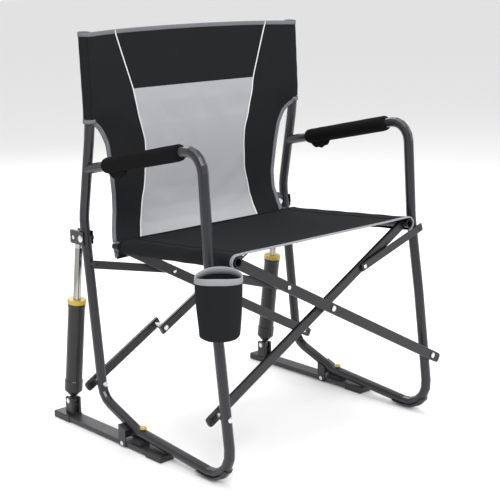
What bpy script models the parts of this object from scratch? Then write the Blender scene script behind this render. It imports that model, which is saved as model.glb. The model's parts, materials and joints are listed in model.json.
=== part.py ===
"""Camp rocking chair: two side frames on sprung foot bars, joined by bars that fold sideways.

Metres, +Z up. The sitter faces -Y, the side frames stand at -X (left) and +X (right). Four
crossing bars under the seat fold the chair like scissors. Each side frame rocks on a flat
foot bar and is held up at the back by a sprung strut.
"""
import math

import bmesh
import bpy
from mathutils import Matrix, Vector

GAP = 0.0003               # air between pieces that touch

# Side frame tubes: (y, z) of each corner of the middle line, and the bend radius there
FRAME_X = 0.300
TUBE_R = 0.011
TUBE_WALL = 0.0013
BACK_TOP = (0.1590, 0.872)
BACK_CURVE = (0.1510, 0.685)
BACK_KNEE = (0.1880, 0.478)
REAR_LOW = (0.1415, 0.083)
RAIL_BACK = (0.0180, 0.0370)
RAIL_SPLIT = (-0.060, 0.0297)
FRONT_LOW = (-0.2870, 0.0085)
LEG_KNEE = (-0.2525, 0.285)
LEG_CURVE = (-0.2270, 0.450)
ARM_FRONT = (-0.2136, 0.6720)
ARM_REAR = (0.1680, 0.5895)
BENDS_REAR = (0.300, 0.120, 0.045, 0.060)
BENDS_FRONT = (0.058, 0.300, 0.300, 0.042)

# Arm pads and front feet
PAD_R = 0.0175
PAD_START = -0.163
PAD_END = 0.100
FOOT_STRIP_T = 0.0024

# Scissor bars: pivots on the legs, and how far each flat bar lies from the front
BAR_SLOPE = 0.55                   # rise over run of the bars when the chair is open
FRONT_PIVOT_Z = 0.143
REAR_PIVOT_Z = 0.115
RAIL_X = FRAME_X - 0.046
BAR_WIDTH = 0.022
BAR_T = 0.010
BAR_TAIL = 0.018
FRONT_A_Y = -0.2415                # middle of each flat bar
FRONT_B_Y = -0.2905                # at the right leg; this bar runs slanted back to the left rail
FRONT_B_TOP_Y = -0.2500
REAR_A_LOW_Y = 0.1705
REAR_A_HIGH_Y = 0.1340
REAR_B_Y = 0.1215
LAP_X = -0.129
LAP_TAIL = 0.012
# Seat rails
RAIL_R = 0.0095
EYE_HOLE = RAIL_R + 0.0007           # the bars' eyes turn on the rails
EYE_R = EYE_HOLE + 0.0021
RAIL_WALL = 0.0013
RAIL_FRONT_Y = -0.262
RAIL_REAR_Y = 0.1398

# Links from the legs to the bars
LINK_W = 0.018
LINK_T = 0.004
LINK_TAIL = 0.009
FRONT_LINK_Z = 0.430
REAR_LINK_Z = 0.383
FRONT_LINK_X = 0.120               # the link's end on the bar, from the middle
REAR_LINK_X = 0.109
LINK_Y = {"left_front": -0.2450, "right_front": -0.2507, "left_rear": 0.1460, "right_rear": 0.1460}
BOSS_R = 0.0058

# Bolts and rivets
BOLT_R = 0.0030
HOLE_R = 0.0034
HEAD_R = 0.0062
HEAD_H = 0.0020
COLLAR_R = 0.0070

# Foot bars
FOOT_X = FRAME_X + 0.006
FOOT_HALF = 0.017
FOOT_LOW = 0.0045
FOOT_HIGH = 0.0135
FOOT_WALL = 0.0014
FOOT_FRONT_Y = -0.085
FOOT_REAR_Y = 0.304
CAP_T = 0.0020
CAP_FRONT_LEN = 0.050
CAP_BEVEL = 0.0018
BLOCK_FRONT_Y = 0.245
ROCK_Y = 0.044
ROCK_Z = 0.0090
EAR_T = 0.0020
EAR_HALF = 0.012
SADDLE_Z = 0.0245
BUMPER = (-0.012, 0.016)
BUTTON_Y = 0.000

# Sprung struts
STRUT_X = FRAME_X
STRUT_LOW = (0.262, 0.046)
STRUT_HIGH = (0.209, 0.437)
CYL_R = 0.0190
CYL_BORE = 0.0110
COLLAR_START = 0.026
CYL_START = 0.050
CYL_END = 0.238
RING_R = 0.0215
RING_H = 0.009
ROD_R = 0.0050
PISTON_R = 0.0105
PISTON_START = 0.150
PISTON_H = 0.012
STRUT_EYE_R = 0.0105
STRUT_EYE_T = 0.010
STRUT_EYE_HOLE = 0.0045           # wide enough for the pin to shift as the strut tips
FORK_HALF = 0.0130
BRACKET_HALF = TUBE_R + 0.0015
BRACKET_T = 0.0022
BRACKET_H = 0.030
BIG_HEAD_R = 0.0080

# Fabric
SHEET_T = 0.0020
SEAT_FRONT_Y = -0.257
SEAT_REAR_Y = 0.104
SEAT_SLEEVE_R = EYE_R + 0.0025      # the seat passes over the bars' eyes
SEAT_SAG = 0.016
BACK_LOW_Z = 0.430
BACK_HIGH_Z = 0.880
SLEEVE_LOW_Z = 0.725
SLEEVE_R = TUBE_R + 0.0007
BACK_BOW = 0.018
CUP_X = -(FRAME_X + 0.0335)
CUP_Y = -0.2940
CUP_TOP_Z = 0.447
CUP_LOW_Z = 0.322
CUP_TOP_R = 0.0530
CUP_LOW_R = 0.0425
CUP_T = 0.0022

SIDES = 12
BOLT_SIDES = 10
RIGHT_EDGE = FOOT_X + FOOT_HALF + GAP + EAR_T + HEAD_H
LEFT_EDGE = CUP_X - CUP_TOP_R
MOVE = Vector((-(LEFT_EDGE + RIGHT_EDGE) / 2, -(CUP_Y - CUP_TOP_R + FOOT_REAR_Y + CAP_T) / 2, 0.0))

ANGLE = math.atan(BAR_SLOPE)
LOW_ARM = FRAME_X / math.cos(ANGLE)        # lower pivot to centre pivot
HIGH_ARM = RAIL_X / math.cos(ANGLE)        # centre pivot to seat rail

FINISHES = {
    "powder_coat": ((0.030, 0.030, 0.036), 0.38, 0.5),
    "black_plastic": ((0.012, 0.012, 0.013), 0.50, 0.0),
    "black_rubber": ((0.010, 0.010, 0.010), 0.85, 0.0),
    "zinc": ((0.62, 0.63, 0.65), 0.30, 1.0),
    "chrome": ((0.80, 0.81, 0.83), 0.08, 1.0),
    "yellow_plastic": ((0.62, 0.47, 0.04), 0.40, 0.0),
    "charcoal_fabric": ((0.018, 0.019, 0.021), 0.90, 0.0),
    "foam_sleeve": ((0.010, 0.010, 0.011), 0.92, 0.0),
}


def clear_objects():
    """Remove whatever the open file holds."""
    for obj in list(bpy.data.objects):
        bpy.data.objects.remove(obj, do_unlink=True)


def finish(piece, look):
    """A material of its own for one piece, in one of the named finishes."""
    colour, rough, metal = FINISHES[look]
    mat = bpy.data.materials.new(piece + "_" + look)
    mat.use_nodes = True
    shader = mat.node_tree.nodes["Principled BSDF"]
    shader.inputs["Base Color"].default_value = (*colour, 1.0)
    shader.inputs["Roughness"].default_value = rough
    shader.inputs["Metallic"].default_value = metal
    mat.diffuse_color = (*colour, 1.0)
    return mat


def add(name, bm, look, smooth=True):
    """Make an object of a mesh, moved so that the chair stands over its origin."""
    bmesh.ops.recalc_face_normals(bm, faces=bm.faces)
    bmesh.ops.translate(bm, vec=MOVE, verts=bm.verts)
    mesh = bpy.data.meshes.new(name)
    bm.to_mesh(mesh)
    bm.free()
    if smooth:
        mesh.shade_smooth()
        mesh.set_sharp_from_angle(angle=math.radians(40))
    obj = bpy.data.objects.new(name, mesh)
    obj.data.materials.append(finish(name, look))
    bpy.context.collection.objects.link(obj)
    return obj


def boolean(obj, bm, name, operation):
    """Cut a shape out of an object, or join it on, and keep the shape out of the renders."""
    tool = add(name, bm, "black_plastic", smooth=False)
    tool.hide_render = True
    tool.display_type = "WIRE"
    mod = obj.modifiers.new(name, "BOOLEAN")
    mod.operation = operation
    mod.solver = "EXACT"
    mod.object = tool


def carve(obj, bm, name):
    """Cut a shape out of an object."""
    boolean(obj, bm, name, "DIFFERENCE")


def weld_on(obj, bm, name):
    """Join a shape to an object as one body."""
    boolean(obj, bm, name, "UNION")


def rod(start, end, radius, sides=BOLT_SIDES):
    """A round bar from start to end."""
    bm = bmesh.new()
    start = Vector(start)
    run = Vector(end) - start
    turn = run.to_track_quat("Z", "Y").to_matrix().to_4x4()
    bmesh.ops.create_cone(bm, cap_ends=True, segments=sides, radius1=radius, radius2=radius,
                          depth=run.length, matrix=Matrix.Translation(start + run / 2) @ turn)
    return bm


def across(x, y, z, half, radius, sides=BOLT_SIDES):
    """A round bar along X, half its length to each side of a point."""
    return rod((x - half, y, z), (x + half, y, z), radius, sides)


def through(x, y, z, half, radius, sides=BOLT_SIDES):
    """A round bar along Y, half its length to each side of a point."""
    return rod((x, y - half, z), (x, y + half, z), radius, sides)


def block(low, high, bevel=0.0):
    """A box between two corners, with its edges taken off when a bevel is given."""
    bm = bmesh.new()
    low = Vector(low)
    size = Vector(high) - low
    place = Matrix.Translation(low + size / 2) @ Matrix.Diagonal((*size, 1.0))
    bmesh.ops.create_cube(bm, size=1.0, matrix=place)
    if bevel:
        bmesh.ops.bevel(bm, geom=bm.edges[:], offset=bevel, segments=1, affect="EDGES")
    return bm


def turned(profile, start, axis, sides=SIDES, closed=False):
    """A turned solid from (radius, distance along the axis) pairs; closed leaves a bore."""
    turn = Vector(axis).to_track_quat("Z", "Y").to_matrix()
    bm = bmesh.new()
    rings = []
    for radius, along in profile:
        angles = [2 * math.pi * i / sides for i in range(sides)]
        points = [Vector((radius * math.cos(a), radius * math.sin(a), along)) for a in angles]
        rings.append([bm.verts.new(Vector(start) + turn @ point) for point in points])
    skin(bm, rings, closed)
    if not closed:
        bm.faces.new(rings[0])
        bm.faces.new(rings[-1])
    return bm


def skin(bm, rings, closed):
    """Faces between rings of vertices, and from the last ring back to the first if closed."""
    pairs = list(zip(rings, rings[1:]))
    if closed:
        pairs.append((rings[-1], rings[0]))
    for low, high in pairs:
        for i in range(len(low)):
            j = (i + 1) % len(low)
            bm.faces.new((low[i], low[j], high[j], high[i]))


def rounded(corners, bends, steps=4):
    """Points of a side-view line whose inner corners are arcs of the given radii."""
    path = [Vector(corners[0])]
    for before, corner, after, radius in zip(corners, corners[1:], corners[2:], bends):
        here = Vector(corner)
        back = (Vector(before) - here).normalized()
        ahead = (Vector(after) - here).normalized()
        half = back.angle(ahead) / 2
        centre = here + (back + ahead).normalized() * (radius / math.sin(half))
        first = here + back * (radius / math.tan(half)) - centre
        last = here + ahead * (radius / math.tan(half)) - centre
        sweep = math.copysign(math.pi - 2 * half, first.cross(last))
        count = max(2, math.ceil(abs(sweep) / math.radians(90) * steps))
        for k in range(count + 1):
            path.append(centre + Matrix.Rotation(sweep * k / count, 2) @ first)
    path.append(Vector(corners[-1]))
    return path


def tube(path, x, radius, wall):
    """A hollow tube with open ends along side-view points (y, z) of the plane at x."""
    bm = bmesh.new()
    outer = []
    inner = []
    for i, point in enumerate(path):
        before = path[max(i - 1, 0)]
        after = path[min(i + 1, len(path) - 1)]
        along_in = (point - before).normalized() if i else (after - point).normalized()
        along_out = (after - point).normalized() if i < len(path) - 1 else along_in
        along = (along_in + along_out).normalized()
        stretch = 1 / math.cos(along_in.angle(along_out, 0.0) / 2)
        for rings, size in ((outer, radius), (inner, radius - wall)):
            ring = []
            for k in range(SIDES):
                angle = 2 * math.pi * (k + 0.5) / SIDES
                up = size * stretch * math.sin(angle)
                ring.append(bm.verts.new((x + size * math.cos(angle), point.x - along.y * up, point.y + along.x * up)))
            rings.append(ring)
    skin(bm, outer + inner[::-1], closed=True)
    return bm


def flat_bar(start, end, width, thick, bevel=0.002):
    """A flat bar between two points: width across the run, thick along Y or nearly so."""
    run = Vector(end) - Vector(start)
    along = run.normalized()
    up = along.cross(Vector((0, 1, 0))).normalized()
    turn = Matrix((along, up.cross(along), up)).transposed().to_4x4()
    bm = block((0, -thick / 2, -width / 2), (run.length, thick / 2, width / 2))
    long_edges = [e for e in bm.edges if abs(e.verts[0].co.x - e.verts[1].co.x) > run.length / 2]
    bmesh.ops.bevel(bm, geom=long_edges, offset=bevel, segments=1, affect="EDGES")
    bmesh.ops.transform(bm, matrix=Matrix.Translation(start) @ turn, verts=bm.verts)
    return bm


def line_y(low, high, z):
    """Y at height z on the straight line through two side-view points."""
    return low[0] + (high[0] - low[0]) * (z - low[1]) / (high[1] - low[1])


def bolt(name, start, end, collar=None, head=HEAD_R, shank=BOLT_R):
    """A bolt between two faces, with a domed head on each and a collar between them if given.

    The collar is the pair of faces that it keeps apart, as distances from start.
    """
    start = Vector(start)
    axis = Vector(end) - start
    length = axis.length
    profile = [(head * 0.6, -GAP - HEAD_H), (head, -GAP - HEAD_H * 0.5), (head, -GAP), (shank, -GAP)]
    if collar:
        low, high = collar
        profile += [(shank, low + GAP), (COLLAR_R, low + GAP), (COLLAR_R, high - GAP), (shank, high - GAP)]
    profile += [(shank, length + GAP), (head, length + GAP), (head, length + GAP + HEAD_H * 0.5),
                (head * 0.6, length + GAP + HEAD_H)]
    return add(name, turned(profile, start, axis, sides=BOLT_SIDES), "zinc")


def side_frame(side, sign):
    """The two bent tubes of a side frame, the arm pad and the wear strip of the front foot."""
    x = sign * FRAME_X
    rear_line = rounded([BACK_TOP, BACK_CURVE, BACK_KNEE, REAR_LOW, RAIL_BACK, RAIL_SPLIT], BENDS_REAR)
    front_line = rounded([RAIL_SPLIT, FRONT_LOW, LEG_KNEE, LEG_CURVE, ARM_FRONT, ARM_REAR], BENDS_FRONT)
    front_line[0] = front_line[0] + (front_line[1] - front_line[0]).normalized() * GAP
    rear = add(side + "_rear_tube", tube(rear_line, x, TUBE_R, TUBE_WALL), "powder_coat")
    front = add(side + "_front_tube", tube(front_line, x, TUBE_R, TUBE_WALL), "powder_coat")
    upright = rod((x, *BACK_KNEE), (x, *BACK_CURVE), TUBE_R + GAP, sides=24)
    carve(front, upright, side + "_arm_end_cut")
    holes = {
        "front_pivot": (front, line_y(FRONT_LOW, LEG_KNEE, FRONT_PIVOT_Z), FRONT_PIVOT_Z),
        "front_link": (front, line_y(LEG_KNEE, LEG_CURVE, FRONT_LINK_Z), FRONT_LINK_Z),
        "rear_pivot": (rear, line_y(REAR_LOW, BACK_KNEE, REAR_PIVOT_Z), REAR_PIVOT_Z),
        "rear_link": (rear, line_y(REAR_LOW, BACK_KNEE, REAR_LINK_Z), REAR_LINK_Z),
    }
    for label, (piece, y, z) in holes.items():
        carve(piece, through(x, y, z, 0.03, HOLE_R), side + "_" + label + "_hole")
    bolt_y = line_y(REAR_LOW, BACK_KNEE, STRUT_HIGH[1])
    carve(rear, across(x, bolt_y, STRUT_HIGH[1], 0.03, HOLE_R), side + "_bracket_bolt_hole")
    arm_pad(side, x)
    foot_strip(side, x, front_line)


def arm_pad(side, x):
    """The foam sleeve on the straight of the arm."""
    slope = (Vector(ARM_REAR) - Vector(ARM_FRONT)).normalized()
    height = ARM_FRONT[1] + (PAD_START - ARM_FRONT[0]) * slope.y / slope.x
    length = (PAD_END - PAD_START) / slope.x
    bore = TUBE_R / math.cos(math.pi / SIDES) + GAP
    profile = [(bore, 0), (PAD_R - 0.003, 0), (PAD_R, 0.004), (PAD_R, length - 0.004),
               (PAD_R - 0.003, length), (bore, length)]
    pad = turned(profile, (x, PAD_START, height), (0, slope.x, slope.y), closed=True)
    add(side + "_arm_pad", pad, "foam_sleeve")


def foot_strip(side, x, line):
    """A thin wear strip wrapped under the front bend of the tube."""
    run = (line[0] - line[1]).normalized()
    points = [line[1] + run * 0.030] + line[1:5]
    bm = bmesh.new()
    rings = []
    for before, point, after in zip([points[0]] + points, points, points[1:] + [points[-1]]):
        along = (after - before).normalized()
        down = Vector((-along.y, along.x))
        ring = []
        arcs = ((TUBE_R + 3 * GAP, (-60, -20, 20, 60)), (TUBE_R + 3 * GAP + FOOT_STRIP_T, (60, 20, -20, -60)))
        for radius, angles in arcs:
            for degrees in angles:
                drop = down * (radius * math.cos(math.radians(degrees)))
                aside = radius * math.sin(math.radians(degrees))
                ring.append(bm.verts.new((x + aside, point.x + drop.x, point.y + drop.y)))
        rings.append(ring)
    skin(bm, rings, closed=False)
    bm.faces.new(rings[0])
    bm.faces.new(rings[-1])
    add(side + "_front_foot", bm, "black_plastic")


def rail_z(y):
    """Height of the lower rail's middle line at y, between its two bends."""
    start, end = (RAIL_SPLIT, RAIL_BACK) if y < RAIL_BACK[0] else (RAIL_BACK, REAR_LOW)
    return start[1] + (y - start[0]) * (end[1] - start[1]) / (end[0] - start[0])


def foot_bar(side, sign):
    """The flat hollow bar on the floor with its cap, rear block, bumper and button."""
    x = sign * FOOT_X
    outer = FOOT_HALF + CAP_T
    bar = block((x - FOOT_HALF, FOOT_FRONT_Y, FOOT_LOW), (x + FOOT_HALF, FOOT_REAR_Y, FOOT_HIGH))
    foot = add(side + "_foot_bar", bar, "powder_coat", smooth=False)
    hollow = block((x - FOOT_HALF + FOOT_WALL, FOOT_FRONT_Y - 0.01, FOOT_LOW + FOOT_WALL),
                   (x + FOOT_HALF - FOOT_WALL, FOOT_REAR_Y + 0.01, FOOT_HIGH - FOOT_WALL))
    carve(foot, hollow, side + "_foot_hollow")
    carve(foot, across(x, ROCK_Y, ROCK_Z, 0.03, HOLE_R), side + "_rock_hole")
    cap = block((x - outer, FOOT_FRONT_Y - CAP_T - GAP, 0.0),
                (x + outer, FOOT_FRONT_Y + CAP_FRONT_LEN, FOOT_HIGH + CAP_T), bevel=CAP_BEVEL)
    front_cap = add(side + "_front_cap", cap, "black_plastic", smooth=False)
    rear = block((x - outer, BLOCK_FRONT_Y, 0.0), (x + outer, FOOT_REAR_Y + CAP_T, FOOT_HIGH + CAP_T), bevel=CAP_BEVEL)
    rear_block = add(side + "_rear_block", rear, "black_plastic", smooth=False)
    socket_x = FOOT_HALF + GAP
    for piece, label, low, high in ((front_cap, "front", FOOT_FRONT_Y - GAP, FOOT_FRONT_Y + 0.1),
                                    (rear_block, "rear", BLOCK_FRONT_Y - 0.05, FOOT_REAR_Y + GAP)):
        socket = block((x - socket_x, low, FOOT_LOW - GAP), (x + socket_x, high, FOOT_HIGH + GAP))
        carve(piece, socket, side + "_" + label + "_socket")
    fork(side, sign, rear_block)
    rest_z = rail_z(sum(BUMPER) / 2) - TUBE_R - 0.0012
    rubber = block((x - 0.013, BUMPER[0], FOOT_HIGH + GAP), (x + 0.013, BUMPER[1], rest_z), bevel=0.0008)
    add(side + "_bumper", rubber, "black_rubber", smooth=False)
    top = rail_z(BUTTON_Y) + TUBE_R + 0.0006
    button = [(0.0075, 0), (0.0075, 0.003), (0.0055, 0.0045)]
    add(side + "_button", turned(button, (sign * FRAME_X, BUTTON_Y, top), (0, 0, 1)), "yellow_plastic")


def fork(side, sign, rear_block):
    """Two ears on the rear block, and the pin that the strut turns on."""
    x = sign * STRUT_X
    y, z = STRUT_LOW
    low = FOOT_HIGH + CAP_T - 0.002
    ears = block((x - FORK_HALF, y - 0.014, low), (x + FORK_HALF, y + 0.014, z + 0.008), bevel=0.0025)
    weld_on(rear_block, ears, side + "_fork")
    slot = STRUT_EYE_T / 2 + 0.0008
    carve(rear_block, block((x - slot, y - 0.03, FOOT_HIGH + CAP_T + 0.003), (x + slot, y + 0.03, z + 0.02)),
          side + "_fork_slot")
    carve(rear_block, across(x, y, z, 0.03, HOLE_R), side + "_fork_hole")
    bolt(side + "_strut_low_pin", (x - FORK_HALF, y, z), (x + FORK_HALF, y, z))


def rock_bracket(side, sign):
    """The saddle under the lower rail: an ear on each side of the foot bar, and the pin."""
    x = sign * FOOT_X
    inner = FOOT_HALF + GAP
    outer = inner + EAR_T
    low_y = ROCK_Y - EAR_HALF
    high_y = ROCK_Y + EAR_HALF
    body = block((x - outer, low_y, ROCK_Z - 0.0055), (x + outer, high_y, 0.060))
    saddle = add(side + "_rock_bracket", body, "powder_coat", smooth=False)
    carve(saddle, block((x - inner, low_y - 0.01, -0.01), (x + inner, high_y + 0.01, SADDLE_Z)),
          side + "_saddle_slot")
    run = Vector(REAR_LOW) - Vector(RAIL_BACK)
    lid = block((x - 0.03, -0.05, -0.002), (x + 0.03, 0.08, 0.05))
    bmesh.ops.rotate(lid, cent=(0, 0, 0), matrix=Matrix.Rotation(math.atan2(run.y, run.x), 3, "X"), verts=lid.verts)
    bmesh.ops.translate(lid, vec=(0, *RAIL_BACK), verts=lid.verts)
    carve(saddle, lid, side + "_saddle_top")
    path = [Vector(RAIL_BACK) - run * 0.2, Vector(REAR_LOW)]
    rail = rod((sign * FRAME_X, *path[0]), (sign * FRAME_X, *path[1]), TUBE_R + GAP, sides=24)
    carve(saddle, rail, side + "_saddle_seat")
    carve(saddle, across(x, ROCK_Y, ROCK_Z, 0.04, HOLE_R), side + "_saddle_hole")
    bolt(side + "_rock_pin", (x - outer, ROCK_Y, ROCK_Z), (x + outer, ROCK_Y, ROCK_Z), head=0.0055)


def strut(side, sign):
    """The sprung strut: cylinder with lower eye, ring, rod with piston and upper eye."""
    x = sign * STRUT_X
    low = Vector((x, *STRUT_LOW))
    high = Vector((x, *STRUT_HIGH))
    axis = (high - low).normalized()
    full = (high - low).length
    bore = ROD_R + GAP
    body = [(0.0048, 0.006), (0.0048, 0.0140), (0.0100, 0.0140), (CYL_R - 0.002, COLLAR_START - 0.004), (CYL_R + 0.0015, COLLAR_START),
            (CYL_R + 0.0015, CYL_START), (CYL_R, CYL_START + 0.002), (CYL_R, CYL_END - 0.010),
            (CYL_R + 0.0010, CYL_END - 0.008), (CYL_R + 0.0010, CYL_END), (bore, CYL_END),
            (bore, CYL_END - 0.008), (CYL_BORE, CYL_END - 0.008), (CYL_BORE, PISTON_START - 0.075)]
    cylinder = add(side + "_strut_cylinder", turned(body, low, axis, sides=16), "black_plastic")
    half = STRUT_EYE_T / 2
    weld_on(cylinder, across(*low, half, STRUT_EYE_R), side + "_low_eye")
    carve(cylinder, across(*low, 0.02, HOLE_R), side + "_low_eye_hole")
    ring = [(bore, CYL_END + GAP), (RING_R, CYL_END + GAP), (RING_R, CYL_END + RING_H - 0.002),
            (RING_R - 0.002, CYL_END + RING_H), (bore, CYL_END + RING_H)]
    add(side + "_strut_ring", turned(ring, low, axis, sides=16, closed=True), "yellow_plastic")
    stem = [(PISTON_R, PISTON_START), (PISTON_R, PISTON_START + PISTON_H), (ROD_R, PISTON_START + PISTON_H),
            (ROD_R, full - 0.005)]
    shaft = add(side + "_strut_rod", turned(stem, low, axis), "chrome")
    weld_on(shaft, across(*high, half, STRUT_EYE_R), side + "_high_eye")
    carve(shaft, across(*high, 0.02, STRUT_EYE_HOLE), side + "_high_eye_hole")
    strut_bracket(side, x, high)


def strut_bracket(side, x, high):
    """A folded plate behind the upright that holds the strut's upper eye, and its two bolts."""
    low_z = high.z - BRACKET_H / 2
    high_z = high.z + BRACKET_H / 2
    bolt_y = line_y(REAR_LOW, BACK_KNEE, high.z)
    body = block((x - BRACKET_HALF - BRACKET_T, bolt_y - 0.008, low_z),
                 (x + BRACKET_HALF + BRACKET_T, high.y + 0.015, high_z), bevel=0.0015)
    plate = add(side + "_strut_bracket", body, "powder_coat", smooth=False)
    carve(plate, block((x - BRACKET_HALF, bolt_y - 0.03, low_z - 0.01),
                       (x + BRACKET_HALF, bolt_y + TUBE_R + 0.0015, high_z + 0.01)), side + "_bracket_front")
    slot = STRUT_EYE_T / 2 + 0.0012
    back_y = bolt_y + TUBE_R + 0.0035
    carve(plate, block((x - slot, back_y, low_z - 0.01), (x + slot, high.y + 0.03, high_z + 0.01)),
          side + "_bracket_back")
    carve(plate, across(x, bolt_y, high.z, 0.03, HOLE_R), side + "_bracket_hole")
    carve(plate, across(*high, 0.03, HOLE_R), side + "_bracket_eye_hole")
    wide = BRACKET_HALF + BRACKET_T
    bolt(side + "_bracket_bolt", (x - wide, bolt_y, high.z), (x + wide, bolt_y, high.z), head=BIG_HEAD_R)
    bolt(side + "_strut_high_pin", (x - wide, high.y, high.z), (x + wide, high.y, high.z), head=0.0045,
         shank=0.0026)


def place(sign, pivot_z, along, y):
    """A point on a scissor bar that rises toward sign, from its centre pivot."""
    centre_z = pivot_z + FRAME_X * BAR_SLOPE
    return Vector((sign * along * math.cos(ANGLE), y, centre_z + along * math.sin(ANGLE)))


def bar_y(along, low_y, high_y):
    """Y of a scissor bar's middle at a distance from its centre, from its Y at the leg and the rail."""
    return low_y + (high_y - low_y) * (along + LOW_ARM) / (LOW_ARM + HIGH_ARM)


def bar(name, sign, pivot_z, y, low, high, holes, eye=True, top_y=None):
    """A flat scissor bar rising toward sign, from distance low to high about its centre."""
    top_y = y if top_y is None else top_y
    start = place(sign, pivot_z, low, bar_y(low, y, top_y))
    end = place(sign, pivot_z, high, bar_y(high, y, top_y))
    piece = add(name, flat_bar(start, end, BAR_WIDTH, BAR_T), "powder_coat", smooth=False)
    if eye:
        weld_on(piece, through(*end, BAR_T / 2 + 0.0004, EYE_R, sides=16), name + "_eye")
        carve(piece, through(*end, 0.02, EYE_HOLE, sides=16), name + "_eye_hole")
    for label, along in holes.items():
        spot = place(sign, pivot_z, along, bar_y(along, y, top_y))
        carve(piece, through(*spot, 0.02, HOLE_R), name + "_" + label + "_hole")


def scissors():
    """The crossing bars, the bolts at their pivots and the two seat rails they carry."""
    low = -LOW_ARM - BAR_TAIL
    ends = {"low": -LOW_ARM, "mid": 0.0}
    bar("front_bar_a", 1, FRONT_PIVOT_Z, FRONT_A_Y, low, HIGH_ARM, ends)
    bar("front_bar_b", -1, FRONT_PIVOT_Z, FRONT_B_Y, low, HIGH_ARM, ends, top_y=FRONT_B_TOP_Y)
    bar("rear_bar_b", -1, REAR_PIVOT_Z, REAR_B_Y, low, HIGH_ARM, ends)
    lap = LAP_X / math.cos(ANGLE)
    bar("rear_bar_a_lower", 1, REAR_PIVOT_Z, REAR_A_LOW_Y, low, lap + LAP_TAIL,
        {"low": -LOW_ARM, "lap": lap}, eye=False)
    bar("rear_bar_a_upper", 1, REAR_PIVOT_Z, REAR_A_HIGH_Y, lap - LAP_TAIL, HIGH_ARM, {"lap": lap, "mid": 0.0})
    half = BAR_T / 2
    centre = place(1, FRONT_PIVOT_Z, 0.0, 0.0)
    front_y = bar_y(0.0, FRONT_B_Y, FRONT_B_TOP_Y) - 0.0006
    bolt("front_centre_bolt", (0, front_y - half, centre.z), (0, FRONT_A_Y + half, centre.z),
         collar=(BAR_T + 0.0012, FRONT_A_Y - front_y))
    centre = place(1, REAR_PIVOT_Z, 0.0, 0.0)
    bolt("rear_centre_bolt", (0, REAR_B_Y - half, centre.z), (0, REAR_A_HIGH_Y + half, centre.z))
    spot = place(1, REAR_PIVOT_Z, lap, 0.0)
    bolt("rear_lap_rivet", (spot.x, REAR_A_HIGH_Y - half, spot.z), (spot.x, REAR_A_LOW_Y + half, spot.z),
         collar=(BAR_T, REAR_A_LOW_Y - REAR_A_HIGH_Y))
    leg_bolts()
    rails = {"left": (-1, FRONT_B_TOP_Y, REAR_B_Y), "right": (1, FRONT_A_Y, REAR_A_HIGH_Y)}
    for side, (sign, front_y, rear_y) in rails.items():
        points = rail_line(front_y, rear_y)
        add(side + "_seat_rail", tube(points, sign * RAIL_X, RAIL_R, RAIL_WALL), "powder_coat")


def rail_line(front_y, rear_y):
    """Side-view ends of a seat rail that passes through the tops of its two bars."""
    front_z = place(1, FRONT_PIVOT_Z, HIGH_ARM, 0.0).z
    rear_z = place(1, REAR_PIVOT_Z, HIGH_ARM, 0.0).z
    fall = (rear_z - front_z) / (rear_y - front_y)
    return [Vector((y, front_z + (y - front_y) * fall)) for y in (RAIL_FRONT_Y, RAIL_REAR_Y)]


def leg_bolts():
    """The four bolts that the bars turn on at the legs, each with a collar between bar and leg."""
    half = BAR_T / 2
    skin_r = TUBE_R + 0.0012
    front_leg = line_y(FRONT_LOW, LEG_KNEE, FRONT_PIVOT_Z)
    rear_leg = line_y(REAR_LOW, BACK_KNEE, REAR_PIVOT_Z)
    spots = {
        "left_front_pivot": (-1, FRONT_PIVOT_Z, front_leg, FRONT_A_Y),
        "right_front_pivot": (1, FRONT_PIVOT_Z, front_leg, FRONT_B_Y),
        "left_rear_pivot": (-1, REAR_PIVOT_Z, rear_leg, REAR_A_LOW_Y),
        "right_rear_pivot": (1, REAR_PIVOT_Z, rear_leg, REAR_B_Y),
    }
    for name, (sign, z, leg, bar_middle) in spots.items():
        toward = 1 if bar_middle > leg else -1
        start = leg - toward * skin_r
        end = bar_middle + toward * (half + 0.0004)
        gap = abs(bar_middle - leg) - half - 0.0004 - skin_r
        collar = (2 * skin_r, 2 * skin_r + gap) if gap > 4 * GAP else None
        bolt(name, (sign * FRAME_X, start, z), (sign * FRAME_X, end, z), collar=collar)


def link(name, sign, leg_z, leg_y, bar_x, bar_z, near_y, y):
    """A link from a leg to a bar, with a stud into the leg and a boss toward the bar."""
    leg = Vector((sign * FRAME_X, y, leg_z))
    end = Vector((sign * bar_x, y, bar_z))
    run = (end - leg).normalized()
    plate = flat_bar(leg - run * LINK_TAIL, end + run * LINK_TAIL, LINK_W, LINK_T, bevel=0.001)
    piece = add(name, plate, "powder_coat", smooth=False)
    boss_start = leg_y - TUBE_R - 0.0006
    inside = y + LINK_T / 2 - 0.0005
    if boss_start - inside > 0.002:
        weld_on(piece, rod((leg.x, inside, leg_z), (leg.x, boss_start, leg_z), BOSS_R), name + "_boss")
    stud = rod((leg.x, y - LINK_T / 2 - 0.0012, leg_z), (leg.x, leg_y + TUBE_R + 0.0015, leg_z), BOLT_R)
    weld_on(piece, stud, name + "_stud")
    face = near_y + (BAR_T / 2 + 0.0009) * (1 if near_y < y else -1)
    near = y + (LINK_T / 2 - 0.0005) * (-1 if near_y < y else 1)
    if abs(face - near) > 0.002:
        weld_on(piece, rod((end.x, near, end.z), (end.x, face, end.z), BOSS_R), name + "_bar_boss")


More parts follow.
